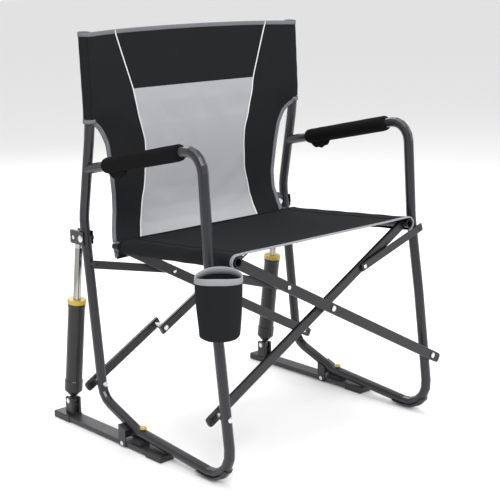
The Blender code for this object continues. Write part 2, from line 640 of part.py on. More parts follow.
def links():
    """The four links that stop the side frames from leaning out."""
    front_leg = line_y(LEG_KNEE, LEG_CURVE, FRONT_LINK_Z)
    rear_leg = line_y(REAR_LOW, BACK_KNEE, REAR_LINK_Z)
    front_z = FRONT_PIVOT_Z + (FRAME_X + FRONT_LINK_X) * BAR_SLOPE
    rear_z = REAR_PIVOT_Z + (FRAME_X + REAR_LINK_X) * BAR_SLOPE
    link_y = bar_y(FRONT_LINK_X / math.cos(ANGLE), FRONT_B_Y, FRONT_B_TOP_Y)
    tops = {"left": (-1, link_y, REAR_B_Y), "right": (1, FRONT_A_Y, REAR_A_HIGH_Y)}
    for side, (sign, front_y, rear_y) in tops.items():
        link(side + "_front_link", sign, FRONT_LINK_Z, front_leg, FRONT_LINK_X, front_z, front_y,
             LINK_Y[side + "_front"])
        link(side + "_rear_link", sign, REAR_LINK_Z, rear_leg, REAR_LINK_X, rear_z, rear_y,
             LINK_Y[side + "_rear"])


def sheet(rows, thick):
    """A closed sheet through rows of points, with its thickness to one side."""
    bm = bmesh.new()
    grid = [[bm.verts.new(p) for p in row] for row in rows]
    for low, high in zip(grid, grid[1:]):
        for k in range(len(low) - 1):
            bm.faces.new((low[k], low[k + 1], high[k + 1], high[k]))
    bmesh.ops.recalc_face_normals(bm, faces=bm.faces)
    bmesh.ops.solidify(bm, geom=bm.faces[:], thickness=thick)
    return bm


def back_sling():
    """The backrest panel between the uprights, with a sleeve over the top of each."""
    edge = FRAME_X - SLEEVE_R - SHEET_T * 0.5
    rows = []
    for i in range(8):
        z = BACK_LOW_Z + (BACK_HIGH_Z - BACK_LOW_Z) * i / 7
        upright = (BACK_CURVE, BACK_TOP) if z > BACK_CURVE[1] else (BACK_KNEE, BACK_CURVE)
        y = line_y(*upright, max(z, BACK_KNEE[1]))
        waist = 0.045 * math.sin(math.radians(145) * max(0.0, (SLEEVE_LOW_Z - z) / (SLEEVE_LOW_Z - BACK_LOW_Z)))
        half = edge - waist
        rows.append([(half * u, y + BACK_BOW * (1 - u * u), z) for u in (-1, -0.8, -0.45, 0, 0.45, 0.8, 1)])
    panel = add("back_sling", sheet(rows, SHEET_T), "charcoal_fabric")
    base = Vector((0, line_y(BACK_CURVE, BACK_TOP, SLEEVE_LOW_Z), SLEEVE_LOW_Z))
    top = Vector((0, line_y(BACK_CURVE, BACK_TOP, BACK_HIGH_Z), BACK_HIGH_Z))
    profile = [(SLEEVE_R, 0), (SLEEVE_R + SHEET_T, 0), (SLEEVE_R + SHEET_T, (top - base).length),
               (SLEEVE_R, (top - base).length)]
    for side, sign in (("left", -1), ("right", 1)):
        start = base + Vector((sign * FRAME_X, 0, 0))
        weld_on(panel, turned(profile, start, top - base, closed=True), side + "_back_sleeve")


def seat_sling():
    """The seat: a sagging sheet that hooks over the two seat rails."""
    rows = []
    lines = {-1: rail_line(FRONT_B_TOP_Y, REAR_B_Y), 1: rail_line(FRONT_A_Y, REAR_A_HIGH_Y)}
    angles = [math.radians(a) for a in (205, 175, 145, 115, 88)]
    span = RAIL_X - 0.012
    for i in range(5):
        y = SEAT_FRONT_Y + (SEAT_REAR_Y - SEAT_FRONT_Y) * i / 4
        tops = {}
        hooks = {}
        for sign, (front, rear) in lines.items():
            z = front.y + (y - front.x) * (rear.y - front.y) / (rear.x - front.x) + 0.0003
            tops[sign] = z + SEAT_SLEEVE_R - 0.0008
            hooks[sign] = [(RAIL_X - SEAT_SLEEVE_R * math.cos(a), z + SEAT_SLEEVE_R * math.sin(a)) for a in angles]
        middle = []
        for u in (-1, -0.6, -0.2, 0.2, 0.6, 1):
            level = (tops[1] + tops[-1] + u * (tops[1] - tops[-1])) / 2
            middle.append((span * u, level - SEAT_SAG * (1 - u * u)))
        row = [(-px, pz) for px, pz in hooks[-1]] + middle + hooks[1][::-1]
        rows.append([(px, y, pz) for px, pz in row])
    add("seat_sling", sheet(rows, SHEET_T * 0.7), "charcoal_fabric")


def cup_holder():
    """The open cup on the left front leg."""
    floor = CUP_LOW_Z + CUP_T
    profile = [(CUP_LOW_R - 0.004, CUP_LOW_Z), (CUP_LOW_R, CUP_LOW_Z + 0.004), (CUP_TOP_R, CUP_TOP_Z),
               (CUP_TOP_R - CUP_T, CUP_TOP_Z), (CUP_LOW_R - CUP_T, floor + 0.004), (CUP_LOW_R - 0.006, floor)]
    add("cup_holder", turned(profile, (CUP_X, CUP_Y, 0), (0, 0, 1), sides=20), "charcoal_fabric")


def build():
    """Make every piece of the chair."""
    clear_objects()
    for side, sign in (("left", -1), ("right", 1)):
        side_frame(side, sign)
        foot_bar(side, sign)
        rock_bracket(side, sign)
        strut(side, sign)
    scissors()
    links()
    back_sling()
    seat_sling()
    cup_holder()


build()
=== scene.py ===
"""The looks of the camp rocking chair: fabric, pads, trim, finishes, light and camera.

The metal and plastic pieces come ready made from the shared frame. This script dresses them
with finishes, and makes the soft goods over them: the backrest, the seat, the arm pads and
the cup. Metres, +Z up; the sitter faces -Y.
"""
from __future__ import annotations

import json
import logging
import math
from dataclasses import dataclass, field
from enum import Enum

import bpy
import numpy as np
from mathutils import Matrix, Vector

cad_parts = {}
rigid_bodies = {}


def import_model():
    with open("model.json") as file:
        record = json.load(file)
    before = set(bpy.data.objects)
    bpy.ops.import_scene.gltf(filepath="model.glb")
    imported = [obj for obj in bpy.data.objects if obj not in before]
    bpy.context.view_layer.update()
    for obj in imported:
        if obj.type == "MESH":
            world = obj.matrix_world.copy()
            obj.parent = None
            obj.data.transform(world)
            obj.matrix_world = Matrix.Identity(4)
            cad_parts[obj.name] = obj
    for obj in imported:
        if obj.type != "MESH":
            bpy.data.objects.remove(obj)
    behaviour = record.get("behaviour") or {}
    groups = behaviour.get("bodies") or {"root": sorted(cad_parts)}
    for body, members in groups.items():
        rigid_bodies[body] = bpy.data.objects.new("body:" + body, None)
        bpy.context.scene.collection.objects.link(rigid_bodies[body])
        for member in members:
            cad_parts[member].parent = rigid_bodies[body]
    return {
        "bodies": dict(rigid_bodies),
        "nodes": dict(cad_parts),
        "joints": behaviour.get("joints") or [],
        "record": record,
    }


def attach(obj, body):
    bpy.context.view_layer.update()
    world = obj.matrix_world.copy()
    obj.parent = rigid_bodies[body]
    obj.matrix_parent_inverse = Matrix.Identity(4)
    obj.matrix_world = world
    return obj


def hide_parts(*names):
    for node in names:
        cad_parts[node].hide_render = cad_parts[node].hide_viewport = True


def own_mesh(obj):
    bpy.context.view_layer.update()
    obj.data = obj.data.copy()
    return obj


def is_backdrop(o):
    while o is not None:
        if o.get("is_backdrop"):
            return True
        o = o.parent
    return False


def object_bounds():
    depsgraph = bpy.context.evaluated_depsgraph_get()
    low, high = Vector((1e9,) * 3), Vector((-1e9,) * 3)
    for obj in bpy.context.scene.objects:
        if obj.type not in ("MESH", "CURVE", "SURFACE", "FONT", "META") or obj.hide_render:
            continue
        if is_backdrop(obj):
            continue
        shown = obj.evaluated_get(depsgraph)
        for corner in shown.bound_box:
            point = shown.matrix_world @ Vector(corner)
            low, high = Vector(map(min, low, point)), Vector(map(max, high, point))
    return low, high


LOG = logging.getLogger("chair")

MOVE = np.array([0.0296, 0.0205, 0.0])     # from the chair's middle plane to the shared origin
FRAME_X = 0.300
RAIL_X = 0.254
UPRIGHT = np.array([[0.165, 0.30], [0.176, 0.40], [0.1845, 0.45], [0.1860, 0.48], [0.1810, 0.52],
                    [0.1690, 0.585], [0.1540, 0.67], [0.1520, 0.72], [0.1590, 0.872], [0.1595, 0.885]])


class Side(Enum):
    """Which side frame a piece belongs to, seen from the front."""

    LEFT = -1
    RIGHT = 1

    @property
    def label(self) -> str:
        """The word used in piece names."""
        return self.name.lower()


class Texture(Enum):
    """The fine surface pattern of a finish."""

    POWDER = "powder"
    WEAVE = "weave"
    MESH = "mesh"
    FOAM = "foam"
    MOULDED = "moulded"
    METAL = "metal"


@dataclass(frozen=True)
class Finish:
    """A surface: its colour, its shine and its fine pattern.

    Args:
        name: Name of the material.
        colour: Linear base colour.
        rough: Roughness from 0 to 1.
        metal: Metallic share.
        texture: The fine pattern.
        scale: How many pattern cells there are in a metre.
        relief: Height of the pattern in metres.
        spread: How far the colour varies over the piece.
        coat: Weight of the clear coat.
    """

    name: str
    colour: tuple[float, float, float]
    rough: float
    metal: float = 0.0
    texture: Texture = Texture.MOULDED
    scale: float = 400.0
    relief: float = 0.0001
    spread: float = 0.12
    coat: float = 0.0


FRAME_COAT = Finish("gunmetal_powder", (0.0105, 0.0105, 0.0150), 0.34, 0.30, Texture.POWDER, 900, 0.00005, 0.10, 0.30)
BAR_COAT = Finish("bar_powder", (0.0085, 0.0085, 0.0110), 0.40, 0.30, Texture.POWDER, 900, 0.00005, 0.12, 0.20)
FOOT_COAT = Finish("foot_grey", (0.034, 0.034, 0.040), 0.50, 0.3, Texture.POWDER, 900, 0.00006, 0.12, 0.1)
PLASTIC = Finish("black_moulded", (0.006, 0.006, 0.007), 0.40, 0.0, Texture.MOULDED, 700, 0.00008)
RUBBER = Finish("bumper_rubber", (0.010, 0.010, 0.010), 0.80, 0.0, Texture.MOULDED, 500, 0.00010)
ZINC = Finish("bright_zinc", (0.70, 0.71, 0.73), 0.24, 1.0, Texture.METAL, 600, 0.00002, 0.08)
CHROME = Finish("rod_chrome", (0.40, 0.395, 0.38), 0.16, 1.0, Texture.METAL, 300, 0.00001, 0.03)
YELLOW = Finish("yellow_moulded", (0.46, 0.34, 0.020), 0.36, 0.0, Texture.MOULDED, 500, 0.00006, 0.06, 0.2)
CLOTH = Finish("charcoal_weave", (0.0105, 0.0112, 0.0124), 0.88, 0.0, Texture.WEAVE, 900, 0.00016, 0.20)
LINING = Finish("charcoal_lining", (0.006, 0.006, 0.007), 0.90, 0.0, Texture.WEAVE, 900, 0.00012, 0.15)
MESH = Finish("grey_mesh", (0.380, 0.390, 0.408), 0.78, 0.0, Texture.MESH, 420, 0.00030, 0.06)
RIBBON = Finish("grey_ribbon", (0.150, 0.156, 0.168), 0.80, 0.0, Texture.WEAVE, 1300, 0.00012, 0.10)
EDGE = Finish("light_ribbon", (0.270, 0.278, 0.296), 0.78, 0.0, Texture.WEAVE, 1300, 0.00012, 0.08)
PIPING = Finish("white_piping", (0.760, 0.760, 0.750), 0.65, 0.0, Texture.WEAVE, 1500, 0.00008, 0.05)
FOAM = Finish("pad_sleeve", (0.0035, 0.0035, 0.0040), 0.92, 0.0, Texture.FOAM, 500, 0.00025, 0.20)


@dataclass
class Nodes:
    """Short ways to add and join shader nodes in one tree."""

    tree: bpy.types.NodeTree

    def add(self, kind: str, **values: object) -> bpy.types.Node:
        """Add a node and set its properties, or its inputs by name."""
        made = self.tree.nodes.new(kind)
        for key, value in values.items():
            if hasattr(made, key):
                setattr(made, key, value)
            else:
                made.inputs[key.replace("_", " ")].default_value = value
        return made

    def join(self, out: bpy.types.NodeSocket, into: bpy.types.NodeSocket) -> None:
        """Join an output to an input."""
        self.tree.links.new(out, into)

    def sum(self, kind: str, first: object, second: object = 0.5, clamp: bool = False) -> bpy.types.NodeSocket:
        """A math node of two inputs, each a socket or a number."""
        made = self.add("ShaderNodeMath", operation=kind, use_clamp=clamp)
        for slot, value in zip(made.inputs, (first, second)):
            if isinstance(value, bpy.types.NodeSocket):
                self.join(value, slot)
            else:
                slot.default_value = float(value)
        return made.outputs[0]


def new_group(name: str, inputs: dict[str, float | None], outputs: dict[str, str]) -> tuple[Nodes, object, object]:
    """A shader group with the named sockets.

    Args:
        name: Name of the group.
        inputs: Input names with their default, or None for a vector.
        outputs: Output names with their socket type.

    Returns:
        The group's nodes, its input node and its output node.
    """
    tree = bpy.data.node_groups.new(name, "ShaderNodeTree")
    for key, value in inputs.items():
        kind = "NodeSocketVector" if value is None else "NodeSocketFloat"
        made = tree.interface.new_socket(key, in_out="INPUT", socket_type=kind)
        if value is not None:
            made.default_value = value
    for key, kind in outputs.items():
        tree.interface.new_socket(key, in_out="OUTPUT", socket_type=kind)
    nodes = Nodes(tree)
    return nodes, nodes.add("NodeGroupInput"), nodes.add("NodeGroupOutput")


def weave_group() -> bpy.types.NodeTree:
    """Crossing threads: Height from 0 to 1, Gap where the ground shows between threads."""
    nodes, start, end = new_group("threads", {"Vector": None, "Scale": 900.0},
                                  {"Height": "NodeSocketFloat", "Gap": "NodeSocketFloat"})
    split = nodes.add("ShaderNodeSeparateXYZ")
    nodes.join(start.outputs["Vector"], split.inputs[0])
    waves = []
    for axis in (0, 1):
        turn = nodes.sum("MULTIPLY", nodes.sum("MULTIPLY", split.outputs[axis], start.outputs["Scale"]), math.pi)
        waves.append(nodes.sum("ABSOLUTE", nodes.sum("SINE", turn)))
    nodes.join(nodes.sum("MAXIMUM", waves[0], waves[1]), end.inputs["Height"])
    low = nodes.sum("MULTIPLY", waves[0], waves[1])
    nodes.join(nodes.sum("GREATER_THAN", low, 0.72), end.inputs["Gap"])
    return nodes.tree


def grain_group() -> bpy.types.NodeTree:
    """Fine grain and slow patches, for moulded, powder coated and rolled surfaces."""
    nodes, start, end = new_group("grain", {"Vector": None, "Scale": 500.0},
                                  {"Height": "NodeSocketFloat", "Patch": "NodeSocketFloat"})
    fine = nodes.add("ShaderNodeTexNoise", Detail=3.0)
    nodes.join(start.outputs["Vector"], fine.inputs["Vector"])
    nodes.join(start.outputs["Scale"], fine.inputs["Scale"])
    nodes.join(fine.outputs["Fac"], end.inputs["Height"])
    slow = nodes.add("ShaderNodeTexNoise", Scale=14.0, Detail=4.0, Roughness=0.6)
    nodes.join(start.outputs["Vector"], slow.inputs["Vector"])
    nodes.join(slow.outputs["Fac"], end.inputs["Patch"])
    return nodes.tree


@dataclass
class Paints:
    """Makes each finish's material once."""

    made: dict[str, bpy.types.Material] = field(default_factory=dict)
    groups: dict[str, bpy.types.NodeTree] = field(default_factory=dict)

    def group(self, name: str) -> bpy.types.NodeTree:
        """The named effect group, made on first use."""
        if name not in self.groups:
            self.groups[name] = {"threads": weave_group, "grain": grain_group}[name]()
        return self.groups[name]

    def material(self, look: Finish) -> bpy.types.Material:
        """The material of a finish.

        Args:
            look: The finish.

        Returns:
            The material, made on first use.
        """
        if look.name in self.made:
            return self.made[look.name]
        mat = bpy.data.materials.new(look.name)
        mat.use_nodes = True
        nodes = Nodes(mat.node_tree)
        shader = mat.node_tree.nodes["Principled BSDF"]
        shader.inputs["Metallic"].default_value = look.metal
        shader.inputs["Coat Weight"].default_value = look.coat
        shader.inputs["Coat Roughness"].default_value = 0.25
        place = nodes.add("ShaderNodeTexCoord")
        cloth = look.texture in (Texture.WEAVE, Texture.MESH)
        where = place.outputs["UV" if cloth else "Object"]
        grain = nodes.add("ShaderNodeGroup", node_tree=self.group("grain"))
        nodes.join(place.outputs["Object"], grain.inputs["Vector"])
        grain.inputs["Scale"].default_value = look.scale
        height = grain.outputs["Height"]
        tone = self.tone(nodes, look, grain.outputs["Patch"], grain.outputs["Height"])
        if cloth:
            threads = nodes.add("ShaderNodeGroup", node_tree=self.group("threads"))
            nodes.join(where, threads.inputs["Vector"])
            threads.inputs["Scale"].default_value = look.scale
            height = threads.outputs["Height"]
            # Painted shade: the colour is darkened in the low parts between threads, more strongly on the mesh.
            depth = 0.35 if look.texture is Texture.MESH else 0.12
            tone = self.darker(nodes, tone, nodes.sum("SUBTRACT", 1.0, height), depth * 1.6)
        nodes.join(tone, shader.inputs["Base Color"])
        rough = nodes.sum("MULTIPLY_ADD", grain.outputs["Patch"], 0.16)
        rough.node.inputs[2].default_value = look.rough - 0.08
        nodes.join(rough, shader.inputs["Roughness"])
        bump = nodes.add("ShaderNodeBump", Strength=0.8, Distance=look.relief)
        nodes.join(height, bump.inputs["Height"])
        nodes.join(bump.outputs["Normal"], shader.inputs["Normal"])
        if cloth or look.texture is Texture.FOAM:
            shader.inputs["Specular IOR Level"].default_value = 0.10
        self.made[look.name] = mat
        return mat

    @staticmethod
    def tone(nodes: Nodes, look: Finish, patch: object, fine: object) -> bpy.types.NodeSocket:
        """The base colour, lighter and darker in slow patches."""
        mix = nodes.add("ShaderNodeMix", data_type="RGBA")
        low = [c * (1 - look.spread) for c in look.colour]
        high = [min(1.0, c * (1 + look.spread) + 0.002) for c in look.colour]
        mix.inputs[6].default_value = (*low, 1.0)
        mix.inputs[7].default_value = (*high, 1.0)
        blend = nodes.sum("MULTIPLY_ADD", fine, 0.35)
        nodes.join(nodes.sum("MULTIPLY", patch, 0.65), blend.node.inputs[2])
        nodes.join(blend, mix.inputs[0])
        return mix.outputs[2]

    @staticmethod
    def darker(nodes: Nodes, colour: object, share: object, depth: float) -> bpy.types.NodeSocket:
        """A colour darkened where share is high: painted shade in the low parts between threads."""
        mix = nodes.add("ShaderNodeMix", data_type="RGBA", blend_type="MULTIPLY")
        nodes.join(nodes.sum("MULTIPLY", share, depth, clamp=True), mix.inputs[0])
        nodes.join(colour, mix.inputs[6])
        mix.inputs[7].default_value = (0.25, 0.25, 0.26, 1.0)
        return mix.outputs[2]


PAINTS = Paints()


def upright_y(z: np.ndarray) -> np.ndarray:
    """Y of the uprights' middle line at heights z."""
    return np.interp(z, UPRIGHT[:, 1], UPRIGHT[:, 0])


def surface(name: str, points: np.ndarray, look: Finish, wrap: bool = False,
            ends_meet: bool = False) -> bpy.types.Object:
    """A smooth grid surface with a UV map in metres.

    Args:
        name: Name of the piece.
        points: Array of rows by columns by 3, from the chair's middle plane.
        look: Its finish.
        wrap: True if the last column meets the first.
        ends_meet: True if the last row meets the first.

    Returns:
        The object, in the shared frame.
    """
    rows, cols = points.shape[:2]
    co = (points + MOVE).reshape(-1, 3)
    index = np.arange(rows * cols).reshape(rows, cols)
    if wrap:
        index = np.concatenate([index, index[:, :1]], axis=1)
    if ends_meet:
        index = np.concatenate([index, index[:1]], axis=0)
    quads = np.stack([index[:-1, :-1], index[:-1, 1:], index[1:, 1:], index[1:, :-1]], axis=-1).reshape(-1, 4)
    mesh = bpy.data.meshes.new(name)
    mesh.vertices.add(len(co))
    mesh.vertices.foreach_set("co", co.astype(np.float32).ravel())
    mesh.loops.add(quads.size)
    mesh.loops.foreach_set("vertex_index", quads.astype(np.int32).ravel())
    mesh.polygons.add(len(quads))
    mesh.polygons.foreach_set("loop_start", np.arange(0, quads.size, 4, dtype=np.int32))
    mesh.update(calc_edges=True)
    mesh.validate()
    closed = points if not ends_meet else np.concatenate([points, points[:1]])
    closed = closed if not wrap else np.concatenate([closed, closed[:, :1]], axis=1)
    across = np.linalg.norm(np.diff(closed, axis=1), axis=2)
    down = np.linalg.norm(np.diff(closed, axis=0), axis=2)
    u = np.concatenate([np.zeros((len(closed), 1)), across.cumsum(axis=1)], axis=1)
    u = u - u.mean(axis=1, keepdims=True) if not wrap else u
    v = np.concatenate([np.zeros((1, closed.shape[1])), down.cumsum(axis=0)], axis=0)
    uv = np.stack([u, v], axis=-1)
    corner = np.stack([uv[:-1, :-1], uv[:-1, 1:], uv[1:, 1:], uv[1:, :-1]], axis=2).reshape(-1, 2)
    layer = mesh.uv_layers.new(name="metres")
    layer.data.foreach_set("uv", corner.astype(np.float32).ravel())
    mesh.shade_smooth()
    obj = bpy.data.objects.new(name, mesh)
    bpy.context.collection.objects.link(obj)
    mesh.materials.append(PAINTS.material(look))
    return obj


def applied(obj: bpy.types.Object) -> bpy.types.Object:
    """Turn an object's modifiers into its mesh."""
    graph = bpy.context.evaluated_depsgraph_get()
    mesh = bpy.data.meshes.new_from_object(obj.evaluated_get(graph))
    obj.modifiers.clear()
    old = obj.data
    obj.data = mesh
    mesh.name = obj.name
    bpy.data.meshes.remove(old)
    return obj


def thicken(obj: bpy.types.Object, thick: float) -> bpy.types.Object:
    """Give a surface a thickness, half to each side."""
    mod = obj.modifiers.new("thickness", "SOLIDIFY")
    mod.thickness = thick
    mod.offset = 0.0
    return applied(obj)


def settle(obj: bpy.types.Object, pinned: np.ndarray, frames: int = 24, gravity: float = 0.25) -> bpy.types.Object:
    """Let a cloth hang between its pinned points for a moment, and keep the shape it takes.

    Args:
        obj: The cloth.
        pinned: One weight for each vertex, 1 where it is held.
        frames: How long the cloth moves.
        gravity: Share of gravity that pulls on it.

    Returns:
        The same object with its new mesh.
    """
    group = obj.vertex_groups.new(name="held")
    for weight in np.unique(pinned):
        if weight > 0:
            group.add(np.flatnonzero(pinned == weight).tolist(), float(weight), "REPLACE")
    mod = obj.modifiers.new("cloth", "CLOTH")
    mod.settings.quality = 6
    mod.settings.mass = 0.35
    mod.settings.tension_stiffness = 60
    mod.settings.compression_stiffness = 30
    mod.settings.shear_stiffness = 20
    mod.settings.bending_stiffness = 2.0
    mod.settings.vertex_group_mass = group.name
    mod.settings.effector_weights.gravity = gravity
    mod.collision_settings.use_collision = False
    mod.point_cache.frame_start = 1
    mod.point_cache.frame_end = frames
    scene = bpy.context.scene
    for frame in range(1, frames + 1):
        scene.frame_set(frame)
    applied(obj)
    obj.vertex_groups.clear()
    scene.frame_set(1)
    return obj


def sweep(name: str, path: np.ndarray, section: np.ndarray, look: Finish, side: np.ndarray) -> bpy.types.Object:
    """Draw a closed section along a path.

    Args:
        name: Name of the piece.
        path: Points of the path.
        section: Outline as (sideways, normal) pairs.
        look: Its finish.
        side: A direction for each point that the section's first axis follows.

    Returns:
        The object.
    """
    run = np.gradient(path, axis=0)
    run /= np.linalg.norm(run, axis=1, keepdims=True)
    across = side - run * np.sum(side * run, axis=1, keepdims=True)
    across /= np.linalg.norm(across, axis=1, keepdims=True)
    normal = np.cross(run, across)
    rings = path[:, None] + section[None, :, :1] * across[:, None] + section[None, :, 1:] * normal[:, None]
    first = np.repeat(path[:1, None], len(section), axis=1)
    last = np.repeat(path[-1:, None], len(section), axis=1)
    return surface(name, np.concatenate([first, rings, last]), look, wrap=True)


def oval(width: float, height: float, count: int = 16) -> np.ndarray:
    """A flattened round outline."""
    turn = np.linspace(0, 2 * np.pi, count, endpoint=False)
    shape = np.stack([np.cos(turn), np.sin(turn)], axis=1)
    return np.sign(shape) * np.abs(shape) ** 0.7 * (width / 2, height / 2)


def lathe(name: str, profile: np.ndarray, start: np.ndarray, axis: np.ndarray, look: Finish,
          sides: int = 48) -> bpy.types.Object:
    """A turned piece from (radius, distance along the axis) pairs."""
    axis = axis / np.linalg.norm(axis)
    other = np.array([1.0, 0, 0]) if abs(axis[0]) < 0.9 else np.array([0, 1.0, 0])
    first = np.cross(axis, other)
    first /= np.linalg.norm(first)
    second = np.cross(axis, first)
    turn = np.linspace(0, 2 * np.pi, sides, endpoint=False)
    round_ = np.cos(turn)[:, None] * first + np.sin(turn)[:, None] * second
    points = start + profile[:, None, :1] * round_[None] + profile[:, None, 1:] * axis
    return surface(name, points, look, wrap=True)


@dataclass
class Metalwork:
    """Finishes for the pieces that come ready made."""

    rules: tuple[tuple[str, Finish], ...] = (
        ("bracket_bolt", ZINC), ("pivot", ZINC), ("bolt", ZINC), ("rivet", ZINC), ("_pin", ZINC),
        ("strut_rod", CHROME), ("strut_ring", YELLOW), ("button", YELLOW), ("bumper", RUBBER), ("front_cap", PLASTIC),
        ("rear_block", PLASTIC), ("front_foot", PLASTIC), ("strut_cylinder", PLASTIC), ("foot_bar", FOOT_COAT),
        ("front_bar", BAR_COAT), ("rear_bar", BAR_COAT), ("link", BAR_COAT), ("sling", CLOTH), ("cup", CLOTH),
        ("pad", FOAM),
    )

    def dress(self) -> None:
        """Put the right finish on every ready made piece."""
        count = 0
        for obj in bpy.data.objects:
            if obj.type != "MESH":
                continue
            look = next((f for key, f in self.rules if key in obj.name), FRAME_COAT)
            mat = PAINTS.material(look)
            for slot in obj.material_slots:
                slot.material = mat
            count += 1
        LOG.info("dressed %d ready made pieces", count)


@dataclass
class Backrest:
    """The slung backrest: cloth with a mesh window, piping, ribbon edges and two sleeves."""

    low_z: float = 0.392
    edge_z: tuple[float, ...] = (0.392, 0.430, 0.455, 0.485, 0.525, 0.590, 0.640, 0.668, 0.684, 0.692, 0.705, 0.880)
    edge_x: tuple[float, ...] = (0.253, 0.251, 0.246, 0.239, 0.2375, 0.2450, 0.254, 0.268, 0.283, 0.300, 0.302, 0.302)
    pipe_z: tuple[float, ...] = (0.392, 0.430, 0.480, 0.540, 0.600, 0.640, 0.655, 0.720, 0.753, 0.880)
    pipe_x: tuple[float, ...] = (0.184, 0.175, 0.163, 0.150, 0.146, 0.148, 0.154, 0.171, 0.1770, 0.2210)
    pull_z: tuple[float, ...] = (0.392, 0.430, 0.460, 0.520, 0.600, 0.680)
    pull_y: tuple[float, ...] = (0.038, 0.034, 0.030, 0.020, 0.009, 0.000)
    window_z: tuple[float, float] = (0.404, 0.753)
    bow: float = 0.009
    sleeve_r: float = 0.0129
    sleeve_low: float = 0.700
    top_z: float = 0.880

    def half(self, z: np.ndarray) -> np.ndarray:
        """Half width of the cloth at heights z."""
        return self.smooth(z, self.edge_z, self.edge_x)

    @staticmethod
    def smooth(z: np.ndarray, known: tuple[float, ...], values: tuple[float, ...], blur: float = 0.007) -> np.ndarray:
        """Values between known heights, with their corners rounded."""
        steps = np.linspace(-blur, blur, 9)
        return np.interp(np.asarray(z)[..., None] + steps, known, values).mean(axis=-1)

    def pipe(self, z: np.ndarray) -> np.ndarray:
        """Distance of the piping from the middle at heights z."""
        return self.smooth(z, self.pipe_z, self.pipe_x, 0.012)

    def depth(self, x: np.ndarray, z: np.ndarray) -> np.ndarray:
        """Y of the cloth: tight on the sleeves, bowed back in the middle."""
        half = self.half(z)
        share = np.clip(np.abs(x) / half, 0, 1)
        y = upright_y(z) + self.bow * (1 - share ** 2) - np.interp(z, self.pull_z, self.pull_y)
        wrap = np.exp(-(((half - np.abs(x)) / 0.060) ** 2)) * np.clip((z - 0.670) / 0.03, 0, 1)
        ripple = 0.0005 * np.sin(x * 60 + 4 * np.sin(z * 18)) * (1 - share ** 4)
        tuck = 0.0020 * np.exp(-(((z - 0.690) / 0.045) ** 2)) * np.sin(46 * (half - np.abs(x))) * share
        return y - (self.sleeve_r + 0.0002) * wrap + ripple + tuck

    @staticmethod
    def crown(x: np.ndarray, z: np.ndarray) -> np.ndarray:
        """How far the cloth's top rises in the middle."""
        return 0.0055 * np.clip(1 - (x / 0.3) ** 2, 0, 1) * np.clip((z - 0.76) / 0.12, 0, 1)

    def build(self) -> list[bpy.types.Object]:
        """Make the backrest's pieces."""
        z = np.unique(np.concatenate([np.linspace(self.low_z, self.top_z - 0.002, 116), self.window_z]))
        half = self.half(z)
        pipe = self.pipe(z)
        share = np.linspace(0, 1, 26)
        left = -half[:, None] * (1 - share) - pipe[:, None] * share
        middle = np.linspace(-1, 1, 64)[None, 1:-1] * pipe[:, None]
        x = np.concatenate([left, middle, -left[:, ::-1]], axis=1)
        heights = np.repeat(z[:, None], x.shape[1], axis=1)
        points = np.stack([x, self.depth(x, heights), heights + self.crown(x, heights)], axis=-1)
        panel = surface("back_cloth", points, CLOTH)
        held = np.zeros(points.shape[:2])
        held[:, :3] = 1.0
        held[:, -3:] = 1.0
        held[:2] = 1.0
        held[-2:] = 1.0
        settle(panel, held.ravel(), frames=12, gravity=0.02)
        panel.data.materials.append(PAINTS.material(MESH))
        self.paint_window(panel, z, x.shape[1], share.size)
        drop = np.empty(len(panel.data.vertices) * 3, np.float32)
        panel.data.vertices.foreach_get("co", drop)
        shape = drop.reshape(*points.shape) - MOVE
        thicken(panel, 0.0014)
        area = self.area(shape)
        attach(panel, "left_frame")
        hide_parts("back_sling")
        trim = [*self.sleeves(), *self.ribbons(shape), *self.pipes(shape, share.size)]
        for piece in trim:
            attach(piece, "left_frame")
        for piece in [panel, *trim]:
            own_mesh(piece)
        LOG.info("backrest: %d pieces, %.3f square metres", 1 + len(trim), area)
        return [panel, *trim]

    @staticmethod
    def area(shape: np.ndarray) -> float:
        """Area of a grid surface."""
        a = np.diff(shape, axis=0)[:, :-1]
        b = np.diff(shape, axis=1)[:-1]
        return float(np.linalg.norm(np.cross(a, b), axis=2).sum())

    def paint_window(self, panel: bpy.types.Object, z: np.ndarray, cols: int, edge: int) -> None:
        """Put the mesh finish on the faces between the two lines of piping."""
        row = (z[:-1] >= self.window_z[0] - 1e-6) & (z[1:] <= self.window_z[1] + 1e-6)
        col = np.zeros(cols - 1, bool)
        col[edge - 1:-(edge - 1)] = True
        panel.data.polygons.foreach_set("material_index", (row[:, None] & col[None]).astype(np.int32).ravel())

    def sleeves(self) -> list[bpy.types.Object]:
        """The sewn sleeves over the tops of the uprights."""
        made = []
        z = np.linspace(self.sleeve_low, self.top_z - 0.0005, 60)
        turn = np.linspace(0, 2 * np.pi, 40, endpoint=False)
        for side in Side:
            wave = 1 + 0.025 * np.sin(z[:, None] * 160 + 2 * np.sin(turn[None] * 2)) * np.sin(turn[None]) ** 2
            radius = self.sleeve_r * wave
            x = side.value * FRAME_X + radius * np.cos(turn)
            y = upright_y(z)[:, None] + radius * np.sin(turn)
            points = np.stack([x, y, np.repeat(z[:, None], 40, axis=1)], axis=-1)
            top = points[-1:].copy()
            top[..., 0] = side.value * FRAME_X + (top[..., 0] - side.value * FRAME_X) * 0.1
            top[..., 1] = upright_y(z[-1:])[0] + (top[..., 1] - upright_y(z[-1:])[0]) * 0.1
            top[..., 2] += 0.002
            made.append(surface(f"{side.label}_back_sleeve", np.concatenate([points, top]), CLOTH, wrap=True))
        return made

